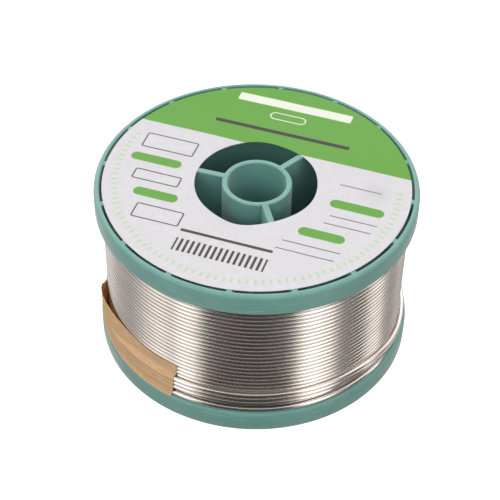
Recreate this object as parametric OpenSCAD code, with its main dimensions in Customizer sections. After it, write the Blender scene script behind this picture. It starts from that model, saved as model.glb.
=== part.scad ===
// Spool of solder wire: a moulded plastic spool in two halves, a paper disc label,
// the wire wound on its barrel and a strip of kraft paper tape over the wire's end.
// Millimetres. The spool stands on its lower flange, with its axis on Z and the
// origin at the middle of its underside.

/* [Flanges] */
// Outer diameter of both flanges
flange_d = 63; // [58:0.5:75]
// Overall height of the spool
spool_h = 37; // [32:0.5:50]
// Height of each flange at its rim
flange_t = 4.8; // [4.2:0.1:6]
// Thickness of the flat web that closes each flange
web_t = 1.8; // [1.2:0.1:2.6]
// Radial thickness of the rim wall
rim_wall = 1.1; // [0.9:0.1:2]
// Rounding of the rim's outer edges
edge_r = 0.8; // [0.3:0.1:0.8]
// Number of ribs on the outside of each flange
rib_count = 16; // [8:1:24]
// Thickness of one rib
rib_t = 1.2; // [0.8:0.1:2]

/* [Hub] */
// Outer diameter of the barrel that carries the wire
barrel_d = 40; // [36:0.5:46]
// Wall of the barrel
barrel_wall = 2; // [1.8:0.1:3]
// Bore of the arbor tube in the middle
bore_d = 11.4; // [8:0.1:13]
// Wall of the arbor tube
tube_wall = 1.1; // [0.8:0.1:1.8]
// Number of spokes between the arbor tube and the barrel
spoke_count = 3; // [3:1:6]
// Thickness of one spoke
spoke_t = 1.3; // [0.8:0.1:2.5]

/* [Joint of the two halves] */
// Length of the upper half's spigot
spigot_l = 3; // [2:0.5:6]
// Wall of the spigot
spigot_wall = 0.9; // [0.6:0.1:1]
// Clearance between spigot and socket
fit_gap = 0.05; // [0.03:0.01:0.15]

/* [Label] */
// Diameter of the label's hole
label_hole_d = 23.8; // [20:0.2:28]
// Thickness of the label
label_t = 0.15; // [0.1:0.05:0.3]
// Clearance between the label's edge and the rim
label_gap = 0.5; // [0.3:0.1:1.5]

/* [Wire] */
// Diameter of the solder wire
wire_d = 1; // [0.8:0.1:1.2]
// Clear gap between neighbouring turns, and between one layer and the next
turn_gap = 0.44; // [0.42:0.02:0.8]
// Clearance between the last turn and the flange above it
flange_gap = 0.25; // [0.1:0.05:0.6]
// Clearance between the wire and what it is wound on
seat_gap = 0.05; // [0.05:0.05:0.3]
// Height of the band of extra turns above the lower flange
band_h = 5; // [3.5:0.5:8]

/* [Tape] */
// Width of the paper tape
tape_w = 8; // [6:0.5:12]
// Thickness of the paper tape
tape_t = 0.15; // [0.1:0.05:0.3]
// Clearance between the tape and the lower flange
tape_lift = 0.3; // [0.1:0.1:1]
// Clearance between the tape and the wire beneath it
tape_gap = 0.05; // [0.05:0.05:0.2]
// Angle that the tape reaches round the spool
tape_sweep = 130; // [60:5:180]

/* [Hidden] */
$fn = 96;

// Joins of solids reach this far into each other
overlap = 0.2;

// Spool
flange_r = flange_d / 2;
rim_inner_r = flange_r - rim_wall;
barrel_r = barrel_d / 2;
barrel_inner_r = barrel_r - barrel_wall;
bore_r = bore_d / 2;
tube_r = bore_r + tube_wall;
mid_h = spool_h / 2;
recess_h = flange_t - web_t;
first_rib = 13.7;
first_spoke = 44;

// Winding: the tape lies just inside the rim, and each layer inside the one above
rim_inset = 0.05;
tape_outer_r = flange_r - rim_inset;
tape_inner_r = tape_outer_r - tape_t;
extra_r = tape_inner_r - tape_gap - wire_d / 2;
layer_r = extra_r - wire_d - turn_gap;

// The wire's path is made of straight lengths, this many in a loop
loop_rings = 24;
ring_step = 360 / loop_rings;
max_layer_turns = 20;
chord_dip = layer_r * (1 - cos(ring_step / 2));
core_r = layer_r - chord_dip - wire_d / 2 - seat_gap;

// The layer starts upright on the lower flange, bends over and climbs to the upper one
bend_r = wire_d;
bend_steps = 3;
layer_low_z = flange_t + wire_d + bend_r;
layer_high_z = spool_h - flange_t - flange_gap - wire_d / 2;
layer_climb = layer_high_z - layer_low_z;
layer_turns = min(max_layer_turns, floor(layer_climb / (wire_d + turn_gap)));
layer_rings = layer_turns * loop_rings;

// Then it lifts off the layer, crosses down over it and winds the band of extra turns
lift_rings = 3;
cross_rings = 6;
cross_foot = -45;
layer_start = cross_foot + (lift_rings + cross_rings) * ring_step;
band_top_z = flange_t + band_h - wire_d / 2;
band_low_z = flange_t + seat_gap + flange_gap + wire_d / 2;
band_turns = floor((band_top_z - band_low_z) / (wire_d + turn_gap));
band_tail_rings = 7;
band_rings = band_turns * loop_rings + band_tail_rings;
band_fall = (band_top_z - band_low_z) * loop_rings / band_rings;

// Tape: its right-hand end, and how it comes down from the band onto the layer
tape_end = -119;
tape_low_z = flange_t + tape_lift;
tape_high_z = tape_low_z + tape_w;
tape_step_z = flange_t + band_h + tape_gap;
tape_rest_r = layer_r + wire_d / 2 + tape_gap;

// Colours
plastic_green = [0.42, 0.63, 0.58];
paper_white = [0.93, 0.93, 0.92];
wire_dull = [0.50, 0.48, 0.47];
wire_bright = [0.80, 0.79, 0.78];
kraft_brown = [0.76, 0.62, 0.44];

// ---- Spool halves ----

module rim_profile() {
    intersection() {
        translate([rim_inner_r, 0]) square([rim_wall, flange_t]);
        union() {
            translate([rim_inner_r, 0]) square([rim_wall - edge_r, flange_t]);
            translate([rim_inner_r, edge_r]) square([rim_wall, flange_t - 2 * edge_r]);
            for (z = [edge_r, flange_t - edge_r])
                translate([flange_r - edge_r, z]) circle(edge_r);
        }
    }
}

module tube(outer_r, inner_r, low, high) {
    rotate_extrude() translate([inner_r, low]) square([outer_r - inner_r, high - low]);
}

module ribs(seat) {
    rib_l = rim_inner_r - barrel_r + 2 * overlap;
    for (i = [0:rib_count - 1])
        rotate(first_rib + i * 360 / rib_count)
            translate([barrel_r - overlap, -rib_t / 2, seat])
                cube([rib_l, rib_t, recess_h - seat + overlap]);
}

module spokes(seat) {
    spoke_l = barrel_inner_r - tube_r + 2 * overlap;
    for (i = [0:spoke_count - 1])
        rotate(first_spoke + i * 360 / spoke_count)
            translate([tube_r - overlap, -spoke_t / 2, seat])
                cube([spoke_l, spoke_t, mid_h - seat]);
}

// One half stands on its flange's outer face. seat is how far its ribs, barrel and tube
// stay below the rim, and joint_end is the outline of the barrel's end at the joint
module spool_half(seat, joint_end) {
    rotate_extrude() {
        rim_profile();
        translate([barrel_r - overlap, recess_h])
            square([rim_inner_r - barrel_r + 2 * overlap, web_t]);
        polygon(concat([[barrel_inner_r, seat], [barrel_r, seat], [barrel_r, mid_h]], joint_end));
    }
    tube(tube_r, bore_r, seat, mid_h);
    ribs(seat);
    spokes(seat);
}

// The lower half has the socket, and its spokes stop short of the spigot that fits in it
module lower_spool_half() {
    socket_r = barrel_inner_r + spigot_wall + fit_gap;
    socket_floor = mid_h - spigot_l - fit_gap;
    socket_end = [[socket_r, mid_h], [socket_r, socket_floor], [barrel_inner_r, socket_floor]];
    color(plastic_green)
        difference() {
            spool_half(0, socket_end);
            tube(socket_r, barrel_inner_r - fit_gap, socket_floor, mid_h + overlap);
        }
}

module upper_spool_half() {
    spigot_r = barrel_inner_r + spigot_wall;
    spigot_tip = mid_h + spigot_l;
    spigot_end = [[spigot_r, mid_h], [spigot_r, spigot_tip], [barrel_inner_r, spigot_tip]];
    color(plastic_green)
        translate([0, 0, spool_h]) mirror([0, 0, 1]) spool_half(label_t, spigot_end);
}

// ---- Label: a paper disc that lies on the upper half's ribs, flush with the rim ----

module top_label() {
    color(paper_white)
        tube(rim_inner_r - label_gap, label_hole_d / 2, spool_h - label_t, spool_h);
}

// ---- Wire ----

// The hidden layers, as the solid ring that they fill
module inner_wire_layers() {
    color(wire_dull)
        tube(core_r, barrel_r + seat_gap, flange_t + seat_gap, spool_h - flange_t - seat_gap);
}

function polar(r, angle, z) = [r * cos(angle), r * sin(angle), z];
function ease(u) = u * u * (3 - 2 * u);
function mix(a, b, u) = a + (b - a) * u;
function unit(v) = v / norm(v);

// Upright start on the flange and the bend into the first turn's first straight length
function start_bend(step) =
    let (turn = 90 * step / bend_steps)
    let (foot = polar(layer_r, layer_start, flange_t + wire_d))
    let (ahead = unit(polar(layer_r, layer_start - ring_step, flange_t + wire_d) - foot))
    foot + bend_r * (1 - cos(turn)) * ahead + [0, 0, bend_r * sin(turn)];

function layer_point(ring) =
    polar(layer_r, layer_start - ring * ring_step,
        mix(layer_low_z, layer_high_z, ring / layer_rings));

function cross_point(ring) =
    let (lift = min(1, ring / lift_rings))
    let (fall = ease(max(0, ring - lift_rings) / cross_rings))
    polar(mix(layer_r, extra_r, lift), layer_start - ring * ring_step,
        mix(layer_high_z, band_top_z, fall));

function band_point(ring) =
    polar(extra_r, cross_foot - ring * ring_step,
        band_top_z - band_fall * ring / loop_rings);

wire_path = concat(
    [polar(layer_r, layer_start, flange_t)],
    [for (step = [0:bend_steps]) start_bend(step)],
    [for (ring = [1:layer_rings]) layer_point(ring)],
    [for (ring = [1:lift_rings + cross_rings]) cross_point(ring)],
    [for (ring = [1:band_rings]) band_point(ring)]
);

// Sweeps a tube of six sides along a path that never runs straight at the axis
tube_sides = 6;

function direction(path, i) =
    unit(path[min(i + 1, len(path) - 1)] - path[max(i - 1, 0)]);

function ring_points(path, i, r) =
    let (along = direction(path, i))
    let (outward = [path[i].x, path[i].y, 0])
    let (up = unit(outward - (outward * along) * along))
    let (side = cross(along, up))
    [for (k = [0:tube_sides - 1])
        path[i] + r * (cos(k * 360 / tube_sides) * up + sin(k * 360 / tube_sides) * side)];

module swept_tube(path, r) {
    points = [for (i = [0:len(path) - 1]) each ring_points(path, i, r)];
    last = (len(path) - 1) * tube_sides;
    walls = [
        for (i = [0:len(path) - 2], k = [0:tube_sides - 1])
            let (a = i * tube_sides + k, b = i * tube_sides + (k + 1) % tube_sides)
            each [[a, a + tube_sides, b], [b, a + tube_sides, b + tube_sides]]
    ];
    start_cap = [for (k = [1:tube_sides - 2]) [0, k, k + 1]];
    end_cap = [for (k = [1:tube_sides - 2]) [last, last + k + 1, last + k]];
    polyhedron(points, concat(walls, start_cap, end_cap), convexity = 10);
}

module outer_wire() {
    color(wire_bright) swept_tube(wire_path, wire_d / 2);
}

// Least gap of the wire to itself. Points along each straight length are measured to
// the lengths of the other turns that lie beside, over or under them
samples = 4;

function to_length(p, a, b) =
    let (u = max(0, min(1, (p - a) * (b - a) / ((b - a) * (b - a)))))
    norm(p - mix(a, b, u));

function length_gap(i) = min([
    for (s = [0:samples - 1], j = [i + loop_rings - 2:len(wire_path) - 2])
        let (beside = (j - i + 2) % loop_rings)
        if (beside <= 4)
            to_length(mix(wire_path[i], wire_path[i + 1], s / samples),
                wire_path[j], wire_path[j + 1]) - wire_d
]);

least_gap = min([for (i = [0:len(wire_path) - loop_rings - 1]) length_gap(i)]);
echo(loops = (len(wire_path) - bend_steps - 1) / loop_rings, least_gap = least_gap);

// ---- Paper tape: laid over the band of extra turns and down onto the layer ----

module paper_tape() {
    profile = [
        [tape_inner_r, tape_low_z], [tape_outer_r, tape_low_z],
        [tape_outer_r, tape_step_z], [tape_rest_r + tape_t, tape_high_z],
        [tape_rest_r, tape_high_z], [tape_inner_r, tape_step_z]
    ];
    color(kraft_brown)
        rotate(tape_end - tape_sweep) rotate_extrude(angle = tape_sweep) polygon(profile);
}

lower_spool_half();
upper_spool_half();
top_label();
inner_wire_layers();
outer_wire();
paper_tape();
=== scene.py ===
import math

import bmesh
import bpy
from mathutils import Matrix, Vector, noise


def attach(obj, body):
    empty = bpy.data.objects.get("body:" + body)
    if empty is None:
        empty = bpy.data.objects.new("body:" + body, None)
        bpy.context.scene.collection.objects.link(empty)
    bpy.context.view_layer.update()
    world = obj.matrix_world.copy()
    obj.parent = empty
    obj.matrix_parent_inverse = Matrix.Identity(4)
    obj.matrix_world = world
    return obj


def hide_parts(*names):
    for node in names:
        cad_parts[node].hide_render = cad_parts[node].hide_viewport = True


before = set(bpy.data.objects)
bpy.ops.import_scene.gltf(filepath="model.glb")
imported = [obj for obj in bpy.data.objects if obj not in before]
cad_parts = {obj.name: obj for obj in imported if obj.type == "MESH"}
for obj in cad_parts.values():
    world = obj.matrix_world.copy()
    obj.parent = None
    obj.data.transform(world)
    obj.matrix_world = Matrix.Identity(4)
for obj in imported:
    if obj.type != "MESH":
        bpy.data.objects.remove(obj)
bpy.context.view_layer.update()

# ---------------------------------------------------------------------------------------
# Spool halves. The real reel is moulded in green ABS in two like halves: a flange with a
# rim, a recessed web and ribs, half of the barrel, half of the arbor tube and three
# spokes. The upper half's spigot sits in the lower half's socket, mid-barrel.
# ---------------------------------------------------------------------------------------

# Sizes are in millimetres and angles in degrees, from +X towards +Y
MM = 0.001
HEIGHT = 37.0
MIDDLE = HEIGHT / 2
FLANGE_R = 31.49
FLANGE_T = 4.8
RIM_INNER_R = 30.4
RECESS = 3.0
BARREL_R = 20.0
BARREL_INNER_R = 18.0
TUBE_R = 6.8
BORE_R = 5.7
# The upper ribs, barrel and tube stop this far below the rim, and the label lies on them
LABEL_SEAT = 0.15
RIM_ROUND = 0.8
RIM_LIP_ROUND = 0.22
BARREL_FOOT_ROUND = 0.4
EDGE_ROUND = 0.3
# The ribs run a little way into the barrel, the rim and the web
RIB_COUNT = 16
FIRST_RIB = 13.7
RIB_T = 1.2
RIB_FROM_R = 19.8
RIB_TO_R = 30.6
RIB_DEPTH = 3.2
RIB_ROUND = 0.15
# So do the spokes, from the tube's wall outwards. They end just short of mid-barrel
SPOKE_COUNT = 3
FIRST_SPOKE = 44.0
SPOKE_T = 1.3
SPOKE_FROM_R = 6.6
SPOKE_END = 18.48
SPOKE_ROUND = 0.2
# The spigot clears its socket by 0.05 mm all round and at its end
SPIGOT_R = 18.9
SPIGOT_END = 21.5
SOCKET_R = 18.95
SOCKET_FLOOR = 15.45


def add_piece(name, points, faces):
    """A mesh object from points in millimetres."""
    mesh = bpy.data.meshes.new(name)
    mesh.from_pydata([(x * MM, y * MM, z * MM) for x, y, z in points], [], faces)
    mesh.validate()
    piece = bpy.data.objects.new(name, mesh)
    bpy.context.collection.objects.link(piece)
    return piece


def smooth_but_for(piece, edge_angle):
    """Smooth shading, apart from edges that turn by more than edge_angle degrees."""
    piece.data.shade_smooth()
    piece.data.set_sharp_from_angle(angle=math.radians(edge_angle))


def rounded(corners, steps=5):
    """An outline with its corners rounded off; each corner is (x, y, radius)."""
    outline = []
    for here, corner in enumerate(corners):
        point = Vector(corner[:2])
        radius = corner[2]
        if radius == 0:
            outline.append(tuple(point))
            continue
        before = (Vector(corners[here - 1][:2]) - point).normalized()
        after = (Vector(corners[(here + 1) % len(corners)][:2]) - point).normalized()
        half = before.angle(after) / 2
        start = point + before * (radius / math.tan(half))
        end = point + after * (radius / math.tan(half))
        centre = point + (before + after).normalized() * (radius / math.sin(half))
        sweep = (start - centre).angle_signed(end - centre)
        for step in range(steps + 1):
            turn = Matrix.Rotation(-sweep * step / steps, 2)
            outline.append(tuple(centre + turn @ (start - centre)))
    return outline


def turned(outline, steps):
    """Points and faces of a closed outline (radius, height) turned round the spool's axis."""
    points = []
    for step in range(steps):
        angle = 2 * math.pi * step / steps
        points += [(r * math.cos(angle), r * math.sin(angle), z) for r, z in outline]
    size = len(outline)
    faces = []
    for step in range(steps):
        here = step * size
        there = (step + 1) % steps * size
        for k in range(size):
            after = (k + 1) % size
            faces.append((here + k, there + k, there + after, here + after))
    return points, faces


def radial_bar(inner_r, outer_r, width, low, high, corner_r, angle):
    """A bar that runs out from the axis, with its two lower long edges rounded."""
    half = width / 2
    section = rounded(
        [(-half, low, corner_r), (half, low, corner_r), (half, high, 0), (-half, high, 0)], 4
    )
    across = Matrix.Rotation(math.radians(angle), 3, "Z")
    points = [tuple(across @ Vector((inner_r, x, z))) for x, z in section]
    points += [tuple(across @ Vector((outer_r, x, z))) for x, z in section]
    size = len(section)
    faces = [tuple(range(size))[::-1], tuple(range(size, 2 * size))]
    for k in range(size):
        after = (k + 1) % size
        faces.append((k, after, size + after, size + k))
    return points, faces


def joined(shells):
    """Several shells in one list of points and faces."""
    points = []
    faces = []
    for shell_points, shell_faces in shells:
        first = len(points)
        points += shell_points
        faces += [tuple(first + corner for corner in face) for face in shell_faces]
    return points, faces


def fused(name, groups):
    """One closed skin round groups of overlapping shells, as a moulding comes out of its tool."""
    blanks = [add_piece(name + "_blank", *group) for group in groups]
    for blank in blanks:
        skin = bmesh.new()
        skin.from_mesh(blank.data)
        bmesh.ops.recalc_face_normals(skin, faces=skin.faces)
        skin.to_mesh(blank.data)
        skin.free()
    for other in blanks[1:]:
        union = blanks[0].modifiers.new("union", "BOOLEAN")
        union.operation = "UNION"
        union.solver = "EXACT"
        union.object = other
    bpy.context.view_layer.update()
    evaluated = blanks[0].evaluated_get(bpy.context.evaluated_depsgraph_get())
    mesh = bpy.data.meshes.new_from_object(evaluated)
    mesh.name = name
    for blank in blanks:
        bpy.data.objects.remove(blank)
    piece = bpy.data.objects.new(name, mesh)
    bpy.context.collection.objects.link(piece)
    return piece


def spool_half(name, seat, joint_end, spoke_bars, upside_down):
    """One half, drawn standing on its flange's outer face.

    Each spoke is made of bars: (inner radius, outer radius, thickness, height above the
    seat, top).
    """
    body = rounded(
        [
            (RIM_INNER_R, 0, RIM_LIP_ROUND),
            (FLANGE_R, 0, RIM_ROUND),
            (FLANGE_R, FLANGE_T, RIM_ROUND),
            (BARREL_R, FLANGE_T, BARREL_FOOT_ROUND),
            (BARREL_R, MIDDLE, 0),
            *joint_end,
            (BARREL_INNER_R, seat, EDGE_ROUND),
            (BARREL_R, seat, EDGE_ROUND),
            (BARREL_R, RECESS, EDGE_ROUND),
            (RIM_INNER_R, RECESS, EDGE_ROUND),
        ]
    )
    tube = rounded(
        [
            (BORE_R, seat, EDGE_ROUND),
            (TUBE_R, seat, EDGE_ROUND),
            (TUBE_R, MIDDLE, 0),
            (BORE_R, MIDDLE, 0),
        ]
    )
    tube_and_ribs = [turned(tube, 120)]
    rib_seat = seat + 0.02
    for rib in range(RIB_COUNT):
        angle = FIRST_RIB + rib * 360 / RIB_COUNT
        tube_and_ribs.append(
            radial_bar(RIB_FROM_R, RIB_TO_R, RIB_T, rib_seat, RIB_DEPTH, RIB_ROUND, angle)
        )
    groups = [turned(body, 180), joined(tube_and_ribs)]
    for inner_r, outer_r, thickness, low, top in spoke_bars:
        bars = []
        for spoke in range(SPOKE_COUNT):
            angle = FIRST_SPOKE + spoke * 360 / SPOKE_COUNT
            bars.append(radial_bar(inner_r, outer_r, thickness, seat + low, top, SPOKE_ROUND, angle))
        groups.append(joined(bars))
    piece = fused(name, groups)
    if upside_down:
        turned_over = Matrix.Translation((0, 0, HEIGHT * MM)) @ Matrix.Diagonal((1, 1, -1, 1))
        piece.data.transform(turned_over)
        piece.data.flip_normals()
    smooth_but_for(piece, 32)
    return piece


# Above the socket's floor the lower spokes keep clear of the spigot, and a second, slightly
# thinner bar below it carries each of them into the barrel's wall
lower_half = spool_half(
    "lower_spool_moulding",
    0.0,
    [(SOCKET_R, MIDDLE, 0), (SOCKET_R, SOCKET_FLOOR, 0), (BARREL_INNER_R, SOCKET_FLOOR, 0)],
    [
        (SPOKE_FROM_R, 17.93, SPOKE_T, 0.03, SPOKE_END),
        (17.0, 18.2, SPOKE_T - 0.04, 0.4, 15.4),
    ],
    False,
)
upper_half = spool_half(
    "upper_spool_moulding",
    LABEL_SEAT,
    [(SPIGOT_R, MIDDLE, 0), (SPIGOT_R, SPIGOT_END, 0.1), (BARREL_INNER_R, SPIGOT_END, 0.1)],
    [(SPOKE_FROM_R, 18.2, SPOKE_T, 0.03, SPOKE_END)],
    True,
)


def linear(colour):
    """An sRGB colour in hex as linear red, green, blue and alpha."""
    parts = [int(colour[k:k + 2], 16) / 255 for k in (1, 3, 5)]
    return [p / 12.92 if p <= 0.04045 else ((p + 0.055) / 1.055) ** 2.4 for p in parts] + [1.0]


def add_node(tree, kind, inputs, **settings):
    """Adds one node with its settings, and fills or links its inputs."""
    made = tree.nodes.new(kind)
    for setting, value in settings.items():
        setattr(made, setting, value)
    for socket, value in inputs.items():
        if isinstance(value, bpy.types.NodeSocket):
            tree.links.new(value, made.inputs[socket])
        else:
            made.inputs[socket].default_value = value
    return made


def new_material(name):
    """An empty material and its node tree."""
    material = bpy.data.materials.new(name)
    material.use_nodes = True
    material.node_tree.nodes.clear()
    return material, material.node_tree


# Green ABS, injection moulded: a satin skin with a fine eroded grain that pales at a low
# angle, as a little sheen does, cloudy flow marks of a few millimetres, and scuffs that
# run round the rims where reels rub in their box. Their paler green is also a painted
# highlight along the rims' outer edges.
moulded_abs, tree = new_material("moulded_green_abs")
place = add_node(tree, "ShaderNodeTexCoord", {}).outputs["Object"]
flow_marks = add_node(
    tree, "ShaderNodeTexNoise", {"Vector": place, "Scale": 160.0, "Detail": 3.0, "Roughness": 0.55}
)
tones = add_node(tree, "ShaderNodeValToRGB", {"Fac": flow_marks.outputs["Fac"]})
tones.color_ramp.elements[0].position = 0.3
tones.color_ramp.elements[0].color = linear("#5C8D85")
tones.color_ramp.elements[1].position = 0.72
tones.color_ramp.elements[1].color = linear("#63958D")
parts = add_node(tree, "ShaderNodeSeparateXYZ", {"Vector": place})
angle_round = add_node(
    tree, "ShaderNodeMath", {0: parts.outputs["Y"], 1: parts.outputs["X"]}, operation="ARCTAN2"
)
from_axis = add_node(
    tree, "ShaderNodeVectorMath", {0: place, 1: (1.0, 1.0, 0.0)}, operation="MULTIPLY"
)
radius = add_node(
    tree, "ShaderNodeVectorMath", {0: from_axis.outputs["Vector"]}, operation="LENGTH"
)
# Scuffs are drawn 6 mm long round the rim and 0.3 mm wide, in the unrolled rim's own frame
unrolled = add_node(
    tree,
    "ShaderNodeCombineXYZ",
    {"X": angle_round.outputs[0], "Y": radius.outputs["Value"], "Z": parts.outputs["Z"]},
)
stretched = add_node(
    tree, "ShaderNodeVectorMath", {0: unrolled.outputs[0], 1: (5.0, 3000.0, 3000.0)}, operation="MULTIPLY"
)
scuff_lines = add_node(
    tree, "ShaderNodeTexNoise", {"Vector": stretched.outputs[0], "Scale": 1.0, "Detail": 2.0}
)
scuffs = add_node(
    tree,
    "ShaderNodeMapRange",
    {"Value": scuff_lines.outputs["Fac"], "From Min": 0.62, "From Max": 0.78, "To Min": 0.0, "To Max": 0.5},
)
# Only the outermost 0.7 mm of the rims is scuffed, and there the paler streaks are also a
# painted highlight on the rounded edge
on_rim = add_node(
    tree,
    "ShaderNodeMapRange",
    {"Value": radius.outputs["Value"], "From Min": 0.0308, "From Max": 0.0315, "To Min": 0.0, "To Max": 1.0},
)
rim_scuffs_and_highlight = add_node(
    tree, "ShaderNodeMath", {0: scuffs.outputs[0], 1: on_rim.outputs[0]}, operation="MULTIPLY"
)
# Scuffs and painted highlight: the rims' outer edges are streaked with a paler green
skin = add_node(
    tree,
    "ShaderNodeMix",
    {0: rim_scuffs_and_highlight.outputs[0], 6: tones.outputs["Color"], 7: linear("#A3CEC5")},
    data_type="RGBA",
)
# The eroded grain is about 0.1 mm on the real part; 0.35 mm is the finest that shows
grain = add_node(tree, "ShaderNodeTexNoise", {"Vector": place, "Scale": 2800.0, "Detail": 2.0})
satin = add_node(
    tree,
    "ShaderNodeMapRange",
    {"Value": flow_marks.outputs["Fac"], "From Min": 0.3, "From Max": 0.7, "To Min": 0.34, "To Max": 0.46},
)
grain_bump = add_node(
    tree, "ShaderNodeBump", {"Height": grain.outputs["Fac"], "Strength": 0.12, "Distance": 0.0001}
)
sink_marks = add_node(tree, "ShaderNodeTexNoise", {"Vector": place, "Scale": 90.0, "Detail": 1.0})
sink_bump = add_node(
    tree,
    "ShaderNodeBump",
    {
        "Height": sink_marks.outputs["Fac"],
        "Strength": 0.25,
        "Distance": 0.0004,
        "Normal": grain_bump.outputs["Normal"],
    },
)
shader = add_node(
    tree,
    "ShaderNodeBsdfPrincipled",
    {
        "Base Color": skin.outputs[2],
        "Roughness": satin.outputs[0],
        "IOR": 1.53,
        "Sheen Weight": 0.3,
        "Sheen Roughness": 0.45,
        "Normal": sink_bump.outputs["Normal"],
    },
)
add_node(tree, "ShaderNodeOutputMaterial", {"Surface": shader.outputs["BSDF"]})

for half, node in ((lower_half, "lower_spool_half"), (upper_half, "upper_spool_half")):
    half.data.materials.clear()
    half.data.materials.append(moulded_abs)
    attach(half, "root")
    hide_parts(node)

# ---------------------------------------------------------------------------------------
# Disc label. A printed disc of coated paper, laid on the ribs of the upper half just
# inside its rim. Its hole is smaller than the barrel, so that its inner edge stands free
# between the spokes, wavers a little and droops where thumbs have pushed it down.
# ---------------------------------------------------------------------------------------

LABEL_T = 0.1
LABEL_TOP = 36.958
LABEL_R = 29.85
LABEL_OVAL = 0.06
LABEL_STEPS = 360
LABEL_RINGS = 44
# Beyond this radius the label lies on the spool, and within it its edge stands free
FREE_FROM_R = BARREL_INNER_R
FREE_WIDTH = 6.0
# How far the free edge is pushed down: (angle, depth, half width in degrees)
PUSHED_DOWN = ((250, 0.85, 24), (105, 0.12, 35), (345, 0.08, 30))
RIB_SAG = 0.035
RIPPLE = 0.03
RIPPLE_LENGTH = 9
CREASE = 0.05
# The hole's radius every 30 degrees, from the right and to the back
HOLE_RADII = (11.69, 11.91, 11.72, 12.14, 12.06, 11.97, 12.08, 12.27, 12.05, 11.85, 11.69, 11.78)


def hole_radius(angle):
    """The hole's radius at an angle in degrees, on a smooth curve through HOLE_RADII."""
    count = len(HOLE_RADII)
    place = angle % 360 / 360 * count
    first = int(place)
    part = place - first
    before, here, after, beyond = [HOLE_RADII[(first + k) % count] for k in (-1, 0, 1, 2)]
    slope = after - before
    bend = 2 * before - 5 * here + 4 * after - beyond
    twist = 3 * (here - after) + beyond - before
    return here + part / 2 * (slope + part * (bend + part * twist))


def bell(distance, width):
    """1 at no distance, falling smoothly to 0 over about twice the width."""
    return math.exp(-(distance / width) ** 2)


def label_height(r, angle):
    """Height of the label's upper face."""
    free = max(0.0, (FREE_FROM_R - r) / FREE_WIDTH)
    droop = free ** 1.7 * sum(
        depth * bell(angle - middle, width) for middle, depth, width in PUSHED_DOWN
    )
    # It sags a little from rib to rib, but not at the barrel or the rim
    between_ribs = math.sin(math.pi * (angle - FIRST_RIB) * RIB_COUNT / 360) ** 2
    off_barrel = min(1.0, max(0.0, (r - 19.0) / 4.0))
    off_rim = min(1.0, (RIM_INNER_R - r) / 2.0)
    sag = RIB_SAG * between_ribs * off_barrel * off_rim
    # A short slanting crease lies to the left of the hole
    x = r * math.cos(math.radians(angle))
    y = r * math.sin(math.radians(angle))
    crease = CREASE * bell(y - 1.6 - 0.22 * (x + 18), 0.3) * bell(x + 17, 4.0)
    wave = noise.noise(Vector((x / RIPPLE_LENGTH, y / RIPPLE_LENGTH, 3.0)))
    return LABEL_TOP - droop - sag - crease + RIPPLE * wave * min(1.0, free + 0.3)


points = []
for lift in (0.0, -LABEL_T):
    for ring in range(LABEL_RINGS):
        for step in range(LABEL_STEPS):
            angle = 360 * step / LABEL_STEPS
            inner = hole_radius(angle)
            outer = LABEL_R + LABEL_OVAL * math.sin(math.radians(2 * angle + 40))
            r = inner + (outer - inner) * (ring / (LABEL_RINGS - 1)) ** 1.2
            turn = math.radians(angle)
            points.append((r * math.cos(turn), r * math.sin(turn), label_height(r, angle) + lift))
faces = []
under = LABEL_RINGS * LABEL_STEPS
for ring in range(LABEL_RINGS - 1):
    for step in range(LABEL_STEPS):
        a = ring * LABEL_STEPS + step
        b = ring * LABEL_STEPS + (step + 1) % LABEL_STEPS
        faces.append((a, a + LABEL_STEPS, b + LABEL_STEPS, b))
        faces.append((under + b, under + b + LABEL_STEPS, under + a + LABEL_STEPS, under + a))
last_ring = (LABEL_RINGS - 1) * LABEL_STEPS
for step in range(LABEL_STEPS):
    after = (step + 1) % LABEL_STEPS
    faces.append((step, after, under + after, under + step))
    rim_here = last_ring + step
    rim_after = last_ring + after
    faces.append((rim_after, rim_here, under + rim_here, under + rim_after))
disc_label = add_piece("disc_label", points, faces)
smooth_but_for(disc_label, 50)

# Coated label paper, offset printed: an off-white, slightly satin sheet with a faint
# mottle of fibres about 1 mm long, and clouds of about 15 mm. The print is a plain green
# field, bars, boxes and ruled lines.
coated_paper, tree = new_material("printed_coated_paper")
place = add_node(tree, "ShaderNodeTexCoord", {}).outputs["Object"]
# The print's own frame, in millimetres, stands 17.9 degrees clockwise of the spool's
print_frame = add_node(
    tree,
    "ShaderNodeMapping",
    {"Vector": place, "Rotation": (0.0, 0.0, math.radians(17.9)), "Scale": (1000.0, 1000.0, 1000.0)},
)
across = add_node(tree, "ShaderNodeSeparateXYZ", {"Vector": print_frame.outputs[0]})
flat_place = add_node(
    tree, "ShaderNodeVectorMath", {0: print_frame.outputs[0], 1: (1.0, 1.0, 0.0)}, operation="MULTIPLY"
)
from_centre = add_node(tree, "ShaderNodeVectorMath", {0: flat_place.outputs[0]}, operation="LENGTH")
fibres = add_node(
    tree, "ShaderNodeTexNoise", {"Vector": place, "Scale": 900.0, "Detail": 4.0, "Roughness": 0.6}
)
clouds = add_node(tree, "ShaderNodeTexNoise", {"Vector": place, "Scale": 70.0, "Detail": 3.0})
paper_tones = add_node(tree, "ShaderNodeValToRGB", {"Fac": fibres.outputs["Fac"]})
paper_tones.color_ramp.elements[0].position = 0.25
paper_tones.color_ramp.elements[0].color = linear("#DADADF")
paper_tones.color_ramp.elements[1].position = 0.75
paper_tones.color_ramp.elements[1].color = linear("#E2E2E7")
GREEN_INK = "#6FB04C"
PALE_INK = "#C4DCB3"
DARK_INK = "#4A4644"
FIELD_WHITE = "#EDF2E8"
INK_SOFTNESS = 0.05
EDGE_OF_PAPER = 40.0


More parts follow.
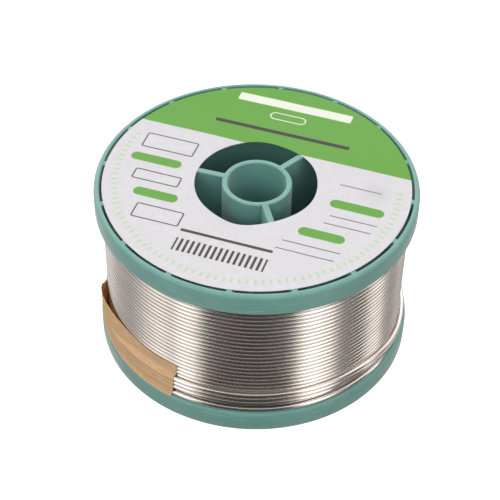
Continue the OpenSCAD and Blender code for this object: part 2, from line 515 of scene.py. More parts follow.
def print_over(paper, ink, *masks):
    """The sheet's colour with one more ink printed where all the masks are 1."""
    mask = masks[0]
    for other in masks[1:]:
        shared = add_node(tree, "ShaderNodeMath", {0: mask, 1: other}, operation="MULTIPLY")
        mask = shared.outputs[0]
    printed = add_node(
        tree, "ShaderNodeMix", {0: mask, 6: paper, 7: linear(ink)}, data_type="RGBA"
    )
    return printed.outputs[2]


def panel(x, y, half_length, half_height, corner_r):
    """Distance outside a bar with rounded corners, in millimetres; less than 0 inside."""
    moved = add_node(
        tree, "ShaderNodeVectorMath", {0: flat_place.outputs[0], 1: (x, y, 0.0)}, operation="SUBTRACT"
    )
    folded = add_node(tree, "ShaderNodeVectorMath", {0: moved.outputs[0]}, operation="ABSOLUTE")
    core = (half_length - corner_r, half_height - corner_r, 0.0)
    beyond = add_node(
        tree, "ShaderNodeVectorMath", {0: folded.outputs[0], 1: core}, operation="SUBTRACT"
    )
    outside = add_node(
        tree, "ShaderNodeVectorMath", {0: beyond.outputs[0], 1: (0.0, 0.0, 0.0)}, operation="MAXIMUM"
    )
    length = add_node(tree, "ShaderNodeVectorMath", {0: outside.outputs[0]}, operation="LENGTH")
    distance = add_node(
        tree, "ShaderNodeMath", {0: length.outputs["Value"], 1: corner_r}, operation="SUBTRACT"
    )
    return distance.outputs[0]


def inked(distance, inner=-9.0, outer=0.0):
    """1 where the distance lies between inner and outer, with slightly soft edges."""
    past_inner = add_node(
        tree,
        "ShaderNodeMapRange",
        {"Value": distance, "From Min": inner - INK_SOFTNESS, "From Max": inner + INK_SOFTNESS},
    )
    past_outer = add_node(
        tree,
        "ShaderNodeMapRange",
        {"Value": distance, "From Min": outer - INK_SOFTNESS, "From Max": outer + INK_SOFTNESS},
    )
    between = add_node(
        tree,
        "ShaderNodeMath",
        {0: past_inner.outputs[0], 1: past_outer.outputs[0]},
        operation="SUBTRACT",
    )
    return between.outputs[0]


def scale_marks(place_along, pitch, width):
    """1 on the marks of a plain scale with this pitch and line width."""
    folded = add_node(tree, "ShaderNodeMath", {0: place_along, 1: pitch / 2}, operation="PINGPONG")
    return inked(folded.outputs[0], -1.0, width / 2)


sheet = paper_tones.outputs["Color"]
along = across.outputs["X"]
up = across.outputs["Y"]
FIELD_FROM = 10.5
sheet = print_over(sheet, GREEN_INK, inked(up, FIELD_FROM, EDGE_OF_PAPER))
# Bare green bars stand in two columns, the left one with blank boxes to write in and the
# right one with ruled lines: (x, y, half length), and for a box its half height too
GREEN_BARS = ((-20.6, -0.6, 5.2), (-17.0, -10.2, 4.5), (20.3, -1.0, 5.3), (16.1, -10.4, 4.5))
GREEN_BAR_HALF = 1.15
for x, y, half_length in GREEN_BARS:
    green_bar = panel(x, y, half_length, GREEN_BAR_HALF, GREEN_BAR_HALF)
    sheet = print_over(sheet, GREEN_INK, inked(green_bar))
BLANK_BOXES = ((-19.7, 4.7, 5.4, 2.2), (-18.6, -5.5, 4.8, 1.5), (-14.6, -15.3, 4.8, 2.0))
BOX_LINE = 0.26
for x, y, half_length, half_height in BLANK_BOXES:
    sheet = print_over(sheet, DARK_INK, inked(panel(x, y, half_length, half_height, 0.5), -BOX_LINE))
RULED_LINES = (
    (20.6, -4.6, 4.6), (20.0, -6.9, 4.6), (15.2, -14.0, 5.6), (14.6, -16.3, 5.6), (19.5, 4.6, 4.2)
)
RULED_HALF = 0.1
for x, y, half_length in RULED_LINES:
    sheet = print_over(sheet, DARK_INK, inked(panel(x, y, half_length, RULED_HALF, RULED_HALF)))
# In the field stand a broad pale bar, an outlined bar and a dark rule
pale_bar = panel(0.0, 24.6, 12.0, 1.2, 0.3)
sheet = print_over(sheet, FIELD_WHITE, inked(pale_bar))
outlined_bar = panel(-0.3, 20.6, 3.8, GREEN_BAR_HALF, GREEN_BAR_HALF)
sheet = print_over(sheet, FIELD_WHITE, inked(outlined_bar, -0.28))
dark_rule = panel(0.0, 15.6, 14.0, 0.5, 0.2)
sheet = print_over(sheet, DARK_INK, inked(dark_rule))
# A pale scale runs round the white part near its edge, and a dark one stands at its foot
# under another rule
SCALE_R = 27.5
SCALE_COUNT = 120
SCALE_LINE = 0.4
SCALE_HALF = 0.6
below_field = inked(up, -EDGE_OF_PAPER, 6.0)
turn_round = add_node(tree, "ShaderNodeMath", {0: up, 1: along}, operation="ARCTAN2")
scale_run = add_node(
    tree, "ShaderNodeMath", {0: turn_round.outputs[0], 1: SCALE_R}, operation="MULTIPLY"
)
round_marks = scale_marks(scale_run.outputs[0], 2 * math.pi * SCALE_R / SCALE_COUNT, SCALE_LINE)
round_band = inked(from_centre.outputs["Value"], SCALE_R - SCALE_HALF, SCALE_R + SCALE_HALF)
sheet = print_over(sheet, PALE_INK, round_marks, round_band, below_field)
foot_marks = scale_marks(along, 1.1, 0.52)
foot_width = inked(along, -8.9, 8.9)
foot_height = inked(up, -23.3, -19.9)
sheet = print_over(sheet, DARK_INK, foot_marks, foot_height, foot_width)
foot_rule = panel(0.0, -17.7, 9.0, 0.35, 0.2)
sheet = print_over(sheet, DARK_INK, inked(foot_rule))
# Handling has left a faint grey cloudiness, and a thumb mark at the right
thumb = add_node(
    tree, "ShaderNodeVectorMath", {0: flat_place.outputs[0], 1: (22.5, 4.5, 0.0)}, operation="DISTANCE"
)
thumb_mark = add_node(
    tree,
    "ShaderNodeMapRange",
    {"Value": thumb.outputs["Value"], "From Min": 0.5, "From Max": 3.6, "To Min": 0.34, "To Max": 0.0},
)
smudge = add_node(
    tree, "ShaderNodeMath", {0: thumb_mark.outputs[0], 1: clouds.outputs["Fac"]}, operation="MULTIPLY"
)
soiled = add_node(
    tree, "ShaderNodeMix", {0: smudge.outputs[0], 6: sheet, 7: linear("#A7A3A6")}, data_type="RGBA"
)
coating = add_node(
    tree,
    "ShaderNodeMapRange",
    {"Value": clouds.outputs["Fac"], "From Min": 0.3, "From Max": 0.7, "To Min": 0.46, "To Max": 0.6},
)
paper_bump = add_node(
    tree, "ShaderNodeBump", {"Height": fibres.outputs["Fac"], "Strength": 0.1, "Distance": 0.00006}
)
shader = add_node(
    tree,
    "ShaderNodeBsdfPrincipled",
    {
        "Base Color": soiled.outputs[2],
        "Roughness": coating.outputs[0],
        "IOR": 1.45,
        "Normal": paper_bump.outputs["Normal"],
    },
)
# Daylight shines through one thickness of it, as it does where it bridges the hub
shining_through = add_node(tree, "ShaderNodeBsdfTranslucent", {"Color": soiled.outputs[2]})
thin_paper = add_node(
    tree,
    "ShaderNodeMixShader",
    {0: 0.35, 1: shader.outputs["BSDF"], 2: shining_through.outputs["BSDF"]},
)
add_node(tree, "ShaderNodeOutputMaterial", {"Surface": thin_paper.outputs["Shader"]})

disc_label.data.materials.append(coated_paper)
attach(disc_label, "root")
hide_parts("top_label")

# ---------------------------------------------------------------------------------------
# Solder wire. One cored wire of tin and silver, 1 mm thick, wound tight turn by turn. It
# runs up the last full layer, crosses down over it behind and makes a band of a few more
# turns above the lower flange, where its end lies under the tape.
# ---------------------------------------------------------------------------------------

WIRE_R = 0.498
WIRE_SIDES = 14
LAYER_R = 29.5
BAND_R = 30.5
START_ANGLE = 20.0
RING_STEP = 3.0
UNEVENNESS = 0.03
# The full layer runs evenly between these two places: degrees from the start, and heights
LAYER_FROM = 892
LAYER_TO = 9250
LAYER_LOW = 7.73
LAYER_HIGH = 31.15
# Where the wire is after a number of degrees: (degrees, radius, height). The three lowest
# turns step out of the layer into the band in front and back again under the tape.
ROUTE = (
    (0, 28.7, 5.34),
    (20, LAYER_R, 5.33),
    (38, LAYER_R, 5.33),
    (56, BAND_R, 5.36),
    (148, BAND_R, 5.36),
    (172, LAYER_R, 5.71),
    (404, LAYER_R, 6.36),
    (420, 29.9, 6.28),
    (508, 29.9, 6.28),
    (530, LAYER_R, 6.71),
    (784, LAYER_R, 7.42),
    (802, BAND_R, 7.2),
    (868, BAND_R, 7.2),
    (LAYER_FROM, LAYER_R, LAYER_LOW),
    (LAYER_TO, LAYER_R, LAYER_HIGH),
    (9275, BAND_R, 30.6),
    (9375, BAND_R, 6.6),
    (9396, BAND_R, 6.3),
    (9404, BAND_R, 7.05),
    (9409, BAND_R, 7.6),
    (9414, BAND_R, 8.2),
    (9421, BAND_R, 8.8),
    (9432, BAND_R, 9.2),
    (9445, BAND_R, 9.34),
    (9510, BAND_R, 9.36),
    (9574, BAND_R, 5.45),
    (9640, BAND_R, 5.36),
    (9756, BAND_R, 5.36),
    (9770, BAND_R, 6.5),
    (9782, BAND_R, 7.75),
    (9794, BAND_R, 8.2),
    (9806, BAND_R, 8.3),
    (9873, BAND_R, 8.3),
)


# A stretch of the route that is longer than this is wound evenly, and one that is shorter
# than the other without a step in radius runs straight. All the rest ease in and out
EVEN_STRETCH = 1000
STRAIGHT_STRETCH = 60


def on_route(route, degrees):
    """Radius and height after a number of degrees."""
    for (start, start_r, start_z), (end, end_r, end_z) in zip(route, route[1:]):
        if degrees <= end:
            break
    part = (degrees - start) / (end - start)
    straight = start_r == end_r and end - start <= STRAIGHT_STRETCH
    if end - start < EVEN_STRETCH and not straight:
        part = part * part * (3 - 2 * part)
    return start_r + (end_r - start_r) * part, start_z + (end_z - start_z) * part


def wound_path(route, step, unevenness):
    """Points along the wire, in millimetres, one every step degrees."""
    path = []
    count = int(route[-1][0] / step)
    for k in range(count + 1):
        degrees = route[-1][0] * k / count
        r, z = on_route(route, degrees)
        r += unevenness * noise.noise(Vector((degrees / 70, 0.3, 7.1)))
        z += unevenness * 0.6 * noise.noise(Vector((degrees / 50, 5.7, 2.2)))
        angle = math.radians(START_ANGLE - degrees)
        path.append(Vector((r * math.cos(angle), r * math.sin(angle), z)))
    return path


def wire_tube(path, wire_r, sides):
    """Points and faces of a wire along a path, and each point's place in the drawn wire."""
    points = []
    drawn = []
    run = 0.0
    for k, centre in enumerate(path):
        if k:
            run += (centre - path[k - 1]).length
        along = (path[min(k + 1, len(path) - 1)] - path[max(k - 1, 0)]).normalized()
        outward = Vector((centre.x, centre.y, 0))
        up = (outward - along * outward.dot(along)).normalized()
        side = along.cross(up)
        for s in range(sides):
            turn = 2 * math.pi * s / sides
            points.append(tuple(centre + wire_r * (math.cos(turn) * up + math.sin(turn) * side)))
            drawn.append((run, wire_r * math.cos(turn), wire_r * math.sin(turn)))
    faces = []
    for k in range(len(path) - 1):
        for s in range(sides):
            a = k * sides + s
            b = k * sides + (s + 1) % sides
            faces.append((a, b, b + sides, a + sides))
    last = (len(path) - 1) * sides
    faces.append(tuple(range(sides))[::-1])
    faces.append(tuple(last + s for s in range(sides)))
    return points, faces, drawn


def keep_drawn(piece, drawn):
    """Stores each point's place in the drawn wire for its material."""
    layer = piece.data.attributes.new("drawn_mm", "FLOAT_VECTOR", "POINT")
    layer.data.foreach_set("vector", [part for row in drawn for part in row])


path = wound_path(ROUTE, RING_STEP, UNEVENNESS)
points, faces, drawn = wire_tube(path, WIRE_R, WIRE_SIDES)
top_wire = add_piece("solder_wire", points, faces)
keep_drawn(top_wire, drawn)
smooth_but_for(top_wire, 60)

# Tin-silver solder, drawn: bright metal with hair-fine die lines along the wire, softly
# clouded by handling, so that its reflections are streaked but never mirror sharp.
drawn_solder, tree = new_material("drawn_tin_silver_solder")
drawn_place = add_node(tree, "ShaderNodeAttribute", {}, attribute_name="drawn_mm").outputs["Vector"]
# Die lines are some 0.02 mm wide on the real wire; 0.12 mm is the finest that shows
line_frame = add_node(
    tree, "ShaderNodeVectorMath", {0: drawn_place, 1: (0.06, 8.0, 8.0)}, operation="MULTIPLY"
)
die_lines = add_node(
    tree, "ShaderNodeTexNoise", {"Vector": line_frame.outputs[0], "Scale": 1.0, "Detail": 2.0}
)
# Handling leaves dull patches about 20 mm long and as wide as the wire
haze_frame = add_node(
    tree, "ShaderNodeVectorMath", {0: drawn_place, 1: (0.05, 0.6, 0.6)}, operation="MULTIPLY"
)
haze = add_node(
    tree, "ShaderNodeTexNoise", {"Vector": haze_frame.outputs[0], "Scale": 1.0, "Detail": 3.0}
)
metal_tones = add_node(tree, "ShaderNodeValToRGB", {"Fac": haze.outputs["Fac"]})
metal_tones.color_ramp.elements[0].position = 0.3
metal_tones.color_ramp.elements[0].color = linear("#E2DCD7")
metal_tones.color_ramp.elements[1].position = 0.7
metal_tones.color_ramp.elements[1].color = linear("#F2EDE8")
gloss = add_node(
    tree,
    "ShaderNodeMapRange",
    {"Value": haze.outputs["Fac"], "From Min": 0.3, "From Max": 0.7, "To Min": 0.22, "To Max": 0.17},
)
# The lines run along the wire, so they smear what it mirrors up and down, not sideways
round_spool = add_node(tree, "ShaderNodeTangent", {}, direction_type="RADIAL", axis="Z")
line_bump = add_node(
    tree, "ShaderNodeBump", {"Height": die_lines.outputs["Fac"], "Strength": 0.06, "Distance": 0.000006}
)
shader = add_node(
    tree,
    "ShaderNodeBsdfPrincipled",
    {
        "Base Color": metal_tones.outputs["Color"],
        "Metallic": 1.0,
        "Roughness": gloss.outputs[0],
        "Anisotropic": 0.55,
        "Anisotropic Rotation": 0.25,
        "Tangent": round_spool.outputs[0],
        "Normal": line_bump.outputs["Normal"],
    },
)
add_node(tree, "ShaderNodeOutputMaterial", {"Surface": shader.outputs["BSDF"]})

top_wire.data.materials.append(drawn_solder)
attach(top_wire, "root")
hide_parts("outer_wire")

# ---------------------------------------------------------------------------------------
# Inner layers. The same wire under the layer that shows, down to the barrel. The layer
# just beneath is wound out in full, because it can be seen in the grooves between the
# outer turns; the rest, which nobody sees, is one ring.
# ---------------------------------------------------------------------------------------

UNDER_R = 28.62
# 26.4 turns, from flange to flange
UNDER_ROUTE = ((0, UNDER_R, 5.35), (9504, UNDER_R, 31.6))
CORE_INNER_R = BARREL_R + 0.05
CORE_R = 28.1
CORE_LOW = 4.9
CORE_HIGH = 32.1
under_path = wound_path(UNDER_ROUTE, 5.0, 0.02)
under_points, under_faces, under_drawn = wire_tube(under_path, WIRE_R, 10)
core_outline = [
    (CORE_INNER_R, CORE_LOW), (CORE_R, CORE_LOW), (CORE_R, CORE_HIGH), (CORE_INNER_R, CORE_HIGH)
]
core_points, core_faces = turned(core_outline, 120)
points, faces = joined([(under_points, under_faces), (core_points, core_faces)])
inner_layers = add_piece("solder_inner_layers", points, faces)
keep_drawn(inner_layers, under_drawn + [(0.0, 0.0, 0.0)] * len(core_points))
smooth_but_for(inner_layers, 60)

# Tin-silver solder, drawn, as it looks between two layers: the same metal, but duller, and
# with painted shade, for its colour is made greyer and darker than the outer wire's to stand
# for the shade there. It has marks some 2.5 mm long and 0.3 mm wide where turns have rubbed
# on each other.
shaded_rubbed_solder, tree = new_material("shaded_rubbed_tin_silver_solder")
drawn_place = add_node(tree, "ShaderNodeAttribute", {}, attribute_name="drawn_mm").outputs["Vector"]
rub_frame = add_node(
    tree, "ShaderNodeVectorMath", {0: drawn_place, 1: (0.4, 3.0, 3.0)}, operation="MULTIPLY"
)
rub_marks = add_node(
    tree, "ShaderNodeTexNoise", {"Vector": rub_frame.outputs[0], "Scale": 1.0, "Detail": 3.0}
)
# Painted shade: both tones are darker and greyer than the outer wire's, for the shade between layers; the
# rub marks move between them
shade_and_rub_tones = add_node(tree, "ShaderNodeValToRGB", {"Fac": rub_marks.outputs["Fac"]})
shade_and_rub_tones.color_ramp.elements[0].position = 0.3
shade_and_rub_tones.color_ramp.elements[0].color = linear("#A69E99")
shade_and_rub_tones.color_ramp.elements[1].position = 0.7
shade_and_rub_tones.color_ramp.elements[1].color = linear("#CBC3BE")
rub_gloss = add_node(
    tree,
    "ShaderNodeMapRange",
    {"Value": rub_marks.outputs["Fac"], "From Min": 0.3, "From Max": 0.7, "To Min": 0.5, "To Max": 0.34},
)
rub_bump = add_node(
    tree, "ShaderNodeBump", {"Height": rub_marks.outputs["Fac"], "Strength": 0.2, "Distance": 0.00003}
)
shader = add_node(
    tree,
    "ShaderNodeBsdfPrincipled",
    {
        "Base Color": shade_and_rub_tones.outputs["Color"],
        "Metallic": 1.0,
        "Roughness": rub_gloss.outputs[0],
        "Normal": rub_bump.outputs["Normal"],
    },
)
add_node(tree, "ShaderNodeOutputMaterial", {"Surface": shader.outputs["BSDF"]})

inner_layers.data.materials.append(shaded_rubbed_solder)
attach(inner_layers, "root")
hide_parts("inner_wire_layers")

# ---------------------------------------------------------------------------------------
# Paper tape. A strip of gummed kraft paper, 8 mm wide and cut with pinking shears, over
# the wire's end. It is rubbed down on the turns at its right-hand end, so that they print
# through, buckles away from them at the left, and lies down on them again behind.
# ---------------------------------------------------------------------------------------

TAPE_T = 0.12
TAPE_LOW = 4.64
TAPE_WIDTH = 8.0
TAPE_RIGHT = -118.6
TAPE_LEFT = -248.8
TAPE_SKEW = 1.3
TAPE_STEPS = 300
TAPE_ROWS = 76
# What the paper lies on: wires of this radius, which it clears by the gap
LAID_ON_R = 0.5
GUM_GAP = 0.02
LAYER_PITCH = (LAYER_HIGH - LAYER_LOW) / (LAYER_TO - LAYER_FROM) * 360
# How far it sinks between turns of the layer, between turns of the band, and beyond these
LAYER_SAG = 0.09
BAND_SAG = 0.12
FREE_SAG = 1.2
# Turns of the band under the tape, and where they have stepped back into the layer
LOWEST_TURN = 5.36
BAND_HEIGHTS = (LOWEST_TURN, 7.2, 8.3)
BAND_ENDS = -134.0
# Where the wire's last crossing, which is the band's top turn, is on its route at angle 0
TOP_TURN_AT = 9360 + START_ANGLE
# The paper leaves the top turn this far above its middle and slants down to the layer
LEAVES_TURN = 0.14
SLANT_FROM = (0.24, 0.46)
SLANT = 1.6
# Its lower edge flares out over the lower flange's rounded edge
FLARE = 0.22
FLARE_HEIGHT = 0.72
# Where it has come unstuck it stands up from its foot to its upper edge: the angle, the
# upper edge's distance from the axis, and how free it is of the turns, from 0 to 1
STANDING_FOOT_R = 31.1
STANDING_BOW = 1.3
BUCKLE = (
    (-140, 30.1, 0.0),
    (-145, 30.12, 0.6),
    (-149, 30.25, 0.9),
    (-153.5, 30.5, 1.0),
    (-158, 30.78, 1.0),
    (-162.5, 31.12, 1.0),
    (-166, 31.32, 1.0),
    (-169.5, 31.3, 1.0),
    (-171.3, 31.1, 1.0),
    (-172.7, 30.4, 1.0),
    (-174, 30.05, 0.7),
    (-178, 30.0, 0.0),
)


def over_turns(z, heights, turn_r, sag):
    """Radius of paper rubbed down on turns at these heights, which sags between them."""
    best = turn_r + LAID_ON_R - sag
    for height in heights:
        inside = LAID_ON_R ** 2 - (z - height) ** 2
        if inside > 0:
            best = max(best, turn_r + math.sqrt(inside))
    return best


def rubbed_radius(angle, z):
    """Radius of the tape's inner face where it is rubbed down."""
    degrees = START_ANGLE - angle
    phase = LAYER_LOW + (degrees - LAYER_FROM) * LAYER_PITCH / 360
    nearest = phase + round((z - phase) / LAYER_PITCH) * LAYER_PITCH
    on_layer = over_turns(z, (nearest,), LAYER_R, LAYER_SAG)
    band_top = on_route(ROUTE, TOP_TURN_AT - angle)[1]
    heights = (band_top, *BAND_HEIGHTS) if angle > BAND_ENDS else (band_top,)
    slant = 0.0
    flared = 0.0
    if z < band_top + LEAVES_TURN:
        on_band = over_turns(z, heights, BAND_R, BAND_SAG)
    else:
        on_band = over_turns(z, heights, BAND_R, FREE_SAG)
        slant = BAND_R + SLANT_FROM[1] - (z - band_top - SLANT_FROM[0]) * SLANT
    if z < LOWEST_TURN:
        flared = BAND_R + LAID_ON_R + FLARE * ((LOWEST_TURN - z) / FLARE_HEIGHT) ** 2
    return max(on_layer, on_band, slant, flared) + GUM_GAP


def tape_radius(angle, z):
    """Radius of the tape's inner face."""
    rubbed = rubbed_radius(angle, z)
    if angle >= BUCKLE[0][0] or angle <= BUCKLE[-1][0]:
        return rubbed
    for (start, start_r, start_free), (end, end_r, end_free) in zip(BUCKLE, BUCKLE[1:]):
        if angle >= end:
            break
    part = (angle - start) / (end - start)
    part = part * part * (3 - 2 * part)
    edge_r = start_r + (end_r - start_r) * part
    free = start_free + (end_free - start_free) * part
    up_the_strip = (z - TAPE_LOW) / TAPE_WIDTH
    standing = STANDING_FOOT_R + (edge_r - STANDING_FOOT_R) * up_the_strip ** STANDING_BOW
    return rubbed + (max(standing, rubbed) - rubbed) * free


def tooth(z):
    """The pinked edge: teeth of 1 mm, 0.2 mm deep, as degrees round the spool."""
    return 0.75 * abs(z % 1.0 - 0.5)


# The mean radius of the strip turns degrees round the spool into millimetres of paper
STRIP_R = 31.0
points = []
strip_place = []
for layer in (TAPE_T, 0.0):
    for step in range(TAPE_STEPS + 1):
        for row in range(TAPE_ROWS + 1):
            z = TAPE_LOW + TAPE_WIDTH * row / TAPE_ROWS
            right = TAPE_RIGHT - TAPE_SKEW * (1 - row / TAPE_ROWS) - tooth(z)
            left = TAPE_LEFT + tooth(z)
            angle = right + (left - right) * step / TAPE_STEPS
            r = tape_radius(angle, z) + layer
            turn = math.radians(angle)
            points.append((r * math.cos(turn), r * math.sin(turn), z))
            strip_place.append((-turn * STRIP_R, z, layer))
faces = []
columns = TAPE_ROWS + 1
inside = (TAPE_STEPS + 1) * columns
for step in range(TAPE_STEPS):
    for row in range(TAPE_ROWS):
        a = step * columns + row
        faces.append((a, a + 1, a + columns + 1, a + columns))
        faces.append((inside + a, inside + a + columns, inside + a + columns + 1, inside + a + 1))
    low = step * columns
    high = low + TAPE_ROWS
    faces.append((low, low + columns, inside + low + columns, inside + low))
    faces.append((high + columns, high, inside + high, inside + high + columns))
end = TAPE_STEPS * columns
for row in range(TAPE_ROWS):
    faces.append((row + 1, row, inside + row, inside + row + 1))
    faces.append((end + row, end + row + 1, inside + end + row + 1, inside + end + row))
kraft_tape = add_piece("kraft_paper_tape", points, faces)
layer = kraft_tape.data.attributes.new("strip_mm", "FLOAT_VECTOR", "POINT")
layer.data.foreach_set("vector", [part for row in strip_place for part in row])
smooth_but_for(kraft_tape, 50)

# Kraft paper, uncoated: long brown fibres that lie along the strip, paler and pinker
# clouds of 2 mm where the pulp is thin, and a dry, matt face without any gloss.
kraft_paper, tree = new_material("uncoated_kraft_paper")
strip = add_node(tree, "ShaderNodeAttribute", {}, attribute_name="strip_mm").outputs["Vector"]
# Real fibres are about 0.03 mm wide; bundles of 1.1 mm by 0.2 mm are the finest that show
fibre_frame = add_node(
    tree, "ShaderNodeVectorMath", {0: strip, 1: (0.9, 4.5, 1.0)}, operation="MULTIPLY"
)
fibres = add_node(
    tree,
    "ShaderNodeTexNoise",
    {"Vector": fibre_frame.outputs[0], "Scale": 1.0, "Detail": 4.0, "Roughness": 0.65},
)
pulp_clouds = add_node(tree, "ShaderNodeTexNoise", {"Vector": strip, "Scale": 0.45, "Detail": 2.0})
fibre_tones = add_node(tree, "ShaderNodeValToRGB", {"Fac": fibres.outputs["Fac"]})
fibre_tones.color_ramp.elements[0].position = 0.28
fibre_tones.color_ramp.elements[0].color = linear("#D3AD80")
fibre_tones.color_ramp.elements[1].position = 0.72
fibre_tones.color_ramp.elements[1].color = linear("#E5C499")
cloud_amount = add_node(
    tree,
    "ShaderNodeMapRange",
    {"Value": pulp_clouds.outputs["Fac"], "From Min": 0.42, "From Max": 0.7, "To Min": 0.0, "To Max": 0.5},
)
kraft_colour = add_node(
    tree,
    "ShaderNodeMix",
    {0: cloud_amount.outputs[0], 6: fibre_tones.outputs["Color"], 7: linear("#E4C8AE")},
    data_type="RGBA",
)
dryness = add_node(
    tree,
    "ShaderNodeMapRange",
    {"Value": fibres.outputs["Fac"], "From Min": 0.3, "From Max": 0.7, "To Min": 0.72, "To Max": 0.88},
)
fibre_bump = add_node(
    tree, "ShaderNodeBump", {"Height": fibres.outputs["Fac"], "Strength": 0.3, "Distance": 0.00008}
)
shader = add_node(
    tree,
    "ShaderNodeBsdfPrincipled",
    {
        "Base Color": kraft_colour.outputs[2],
        "Roughness": dryness.outputs[0],
        "IOR": 1.4,
        "Normal": fibre_bump.outputs["Normal"],
    },
)
# It is thin enough for light to glow through
glowing_through = add_node(tree, "ShaderNodeBsdfTranslucent", {"Color": kraft_colour.outputs[2]})
thin_kraft = add_node(
    tree,
    "ShaderNodeMixShader",
    {0: 0.3, 1: shader.outputs["BSDF"], 2: glowing_through.outputs["BSDF"]},
)
add_node(tree, "ShaderNodeOutputMaterial", {"Surface": thin_kraft.outputs["Shader"]})

kraft_tape.data.materials.append(kraft_paper)
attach(kraft_tape, "root")
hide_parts("paper_tape")

# ---------------------------------------------------------------------------------------
# Studio. The spool stands on a round white table under a large level softbox, with a
# smaller one in front and above that only fills the shadows. White cards stand all round
# but in front, so that the wire shows bright and dark upright bands.
# ---------------------------------------------------------------------------------------

TABLE_R = 3000.0
TABLE_TOP = -0.02
table_outline = []
for angle in range(0, 360, 4):
    turn = math.radians(angle)
    table_outline.append((TABLE_R * math.cos(turn), TABLE_R * math.sin(turn), TABLE_TOP))
table_top = add_piece("table_top", table_outline, [tuple(range(len(table_outline)))])
# The wire doesn't mirror it, because the cards' own lower half stands in for it
table_top.visible_glossy = False

# Matt white laminate with a faint speckle. To the lens it is overexposed, as the top of a
# shooting table is that is lit from below, but it throws no more light than it gets.
white_laminate, tree = new_material("matt_white_laminate")
place = add_node(tree, "ShaderNodeTexCoord", {}).outputs["Object"]
speckle = add_node(tree, "ShaderNodeTexNoise", {"Vector": place, "Scale": 400.0, "Detail": 2.0})
laminate_tones = add_node(tree, "ShaderNodeValToRGB", {"Fac": speckle.outputs["Fac"]})
laminate_tones.color_ramp.elements[0].color = linear("#A2A2A2")
laminate_tones.color_ramp.elements[1].color = linear("#A9A9A9")
seen = add_node(tree, "ShaderNodeLightPath", {}).outputs["Is Camera Ray"]
shader = add_node(
    tree,
    "ShaderNodeBsdfPrincipled",
    {
        "Base Color": laminate_tones.outputs["Color"],
        "Roughness": 0.9,
        "Emission Color": (1.0, 1.0, 1.0, 1.0),
        "Emission Strength": seen,
    },
)
add_node(tree, "ShaderNodeOutputMaterial", {"Surface": shader.outputs["BSDF"]})
table_top.data.materials.append(white_laminate)

# The room as the wire sees it: cards of many brightnesses all round, dark in front and in
# a gap at the right. Each is (azimuth, radiance), and light runs smoothly between them.
ROOM_CARDS = (
    (-180, 0.42), (-172, 0.68), (-164, 1.05), (-154, 1.20), (-145, 0.80), (-137, 1.85), (-131, 1.30),
    (-122, 0.06), (-112, 0.09), (-72, 0.09), (-62, 0.10), (-55, 1.30), (-49, 2.10), (-40, 1.80),
    (-29, 0.38), (-22, 0.24), (-12, 0.02), (-4, 1.10), (2, 1.50), (9, 0.50), (15, 0.35), (30, 0.90),
    (48, 0.95), (62, 1.30), (75, 1.30), (95, 1.40), (108, 1.40), (122, 1.70), (140, 1.55),
    (154, 0.95), (168, 0.50), (180, 0.42),
)
BRIGHTEST = 2.4
room = bpy.data.worlds.new("room")
bpy.context.scene.world = room
room.use_nodes = True
room.node_tree.nodes.clear()
tree = room.node_tree
towards = add_node(tree, "ShaderNodeTexCoord", {}).outputs["Generated"]
parts = add_node(tree, "ShaderNodeSeparateXYZ", {"Vector": towards})
azimuth = add_node(
    tree, "ShaderNodeMath", {0: parts.outputs["Y"], 1: parts.outputs["X"]}, operation="ARCTAN2"
)
round_room = add_node(
    tree, "ShaderNodeMapRange", {"Value": azimuth.outputs[0], "From Min": -math.pi, "From Max": math.pi}
)
cards = add_node(tree, "ShaderNodeValToRGB", {"Fac": round_room.outputs[0]})
cards.color_ramp.interpolation = "EASE"
while len(cards.color_ramp.elements) < len(ROOM_CARDS):
    cards.color_ramp.elements.new(0.5)
for card, (angle, radiance) in zip(cards.color_ramp.elements, ROOM_CARDS):
    card.position = (angle + 180) / 360
    share = radiance / BRIGHTEST
    card.color = (share, share, share, 1.0)
# The cards are mirrored half as bright in the table. They fade out from 51 to 67 degrees
# up, where the ceiling takes over
above_table = add_node(
    tree,
    "ShaderNodeMapRange",
    {"Value": parts.outputs["Z"], "From Min": -0.25, "From Max": 0.05, "To Min": 0.5, "To Max": 1.1},
)
below_ceiling = add_node(
    tree,
    "ShaderNodeMapRange",
    {"Value": parts.outputs["Z"], "From Min": 0.78, "From Max": 0.92, "To Min": BRIGHTEST, "To Max": 0.1},
)
card_height = add_node(
    tree, "ShaderNodeMath", {0: above_table.outputs[0], 1: below_ceiling.outputs[0]}, operation="MULTIPLY"
)
card_light = add_node(
    tree, "ShaderNodeMath", {0: cards.outputs["Color"], 1: card_height.outputs[0]}, operation="MULTIPLY"
)
ceiling = add_node(
    tree,
    "ShaderNodeMapRange",
    {"Value": parts.outputs["Z"], "From Min": 0.76, "From Max": 0.92, "To Min": 0.0, "To Max": 0.9},
)
strength = add_node(
    tree, "ShaderNodeMath", {0: card_light.outputs[0], 1: ceiling.outputs[0]}, operation="ADD"
)
lit = add_node(
    tree, "ShaderNodeBackground", {"Color": linear("#FFFAF6"), "Strength": strength.outputs[0]}
)
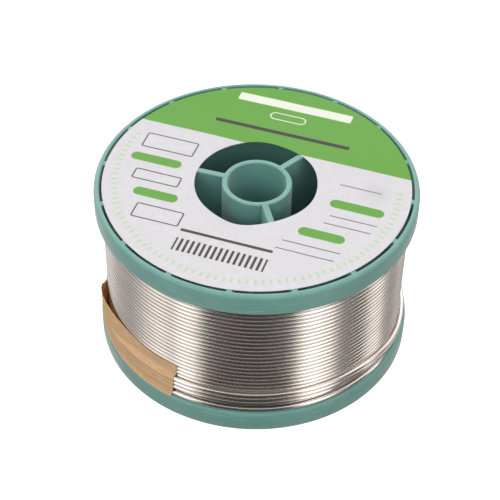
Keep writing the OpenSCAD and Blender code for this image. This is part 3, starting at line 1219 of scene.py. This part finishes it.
# Behind the spool the lens sees a plain white backdrop
white = add_node(tree, "ShaderNodeBackground", {"Color": (1.0, 1.0, 1.0, 1.0), "Strength": 1.0})
seen = add_node(tree, "ShaderNodeLightPath", {}).outputs["Is Camera Ray"]
walls = add_node(tree, "ShaderNodeMixShader", {0: seen, 1: lit.outputs[0], 2: white.outputs[0]})
add_node(tree, "ShaderNodeOutputWorld", {"Surface": walls.outputs[0]})


def softbox(name, width, depth, place, radiance):
    """A soft light that hangs level at a place, in metres. Radiance sets how bright it is."""
    light = bpy.data.lights.new(name, "AREA")
    light.shape = "RECTANGLE"
    light.size = width
    light.size_y = depth
    light.energy = radiance * math.pi * width * depth
    box = bpy.data.objects.new(name, light)
    box.location = place
    box.visible_camera = False
    bpy.context.collection.objects.link(box)
    return box


softbox("overhead_softbox", 1.1, 0.78, (0.0, 0.36, 0.65), 0.78)
# The fill is a smaller one in front and above, and is turned to look into the hub. Nothing
# mirrors it
fill_box = softbox("fill_softbox", 1.1, 0.26, (-0.09, -0.47, 0.40), 2.6)
fill_box.rotation_euler = (math.radians(51), 0.0, math.radians(-10))
fill_box.visible_glossy = False

# The camera stands in front and above, with a long lens
AIM = Vector((-1.04, 0.083, 18.587)) * MM
CAMERA_DISTANCE = 0.29004
ELEVATION = math.radians(43.583)
ROLL = math.radians(1.367)
back = Vector((0, -math.cos(ELEVATION), math.sin(ELEVATION)))
level = Vector((1, 0, 0))
upright = back.cross(level)
right = level * math.cos(ROLL) + upright * math.sin(ROLL)
top = upright * math.cos(ROLL) - level * math.sin(ROLL)
lens = bpy.data.cameras.new("camera")
lens.lens = 103.54
lens.sensor_width = 36
lens.clip_start = 0.01
lens.clip_end = 20
camera = bpy.data.objects.new("camera", lens)
facing = Matrix((right, top, back)).transposed().to_4x4()
camera.matrix_world = Matrix.Translation(AIM + back * CAMERA_DISTANCE) @ facing
bpy.context.collection.objects.link(camera)
bpy.context.scene.camera = camera
bpy.context.scene.view_settings.view_transform = "Standard"

bpy.context.view_layer.update()
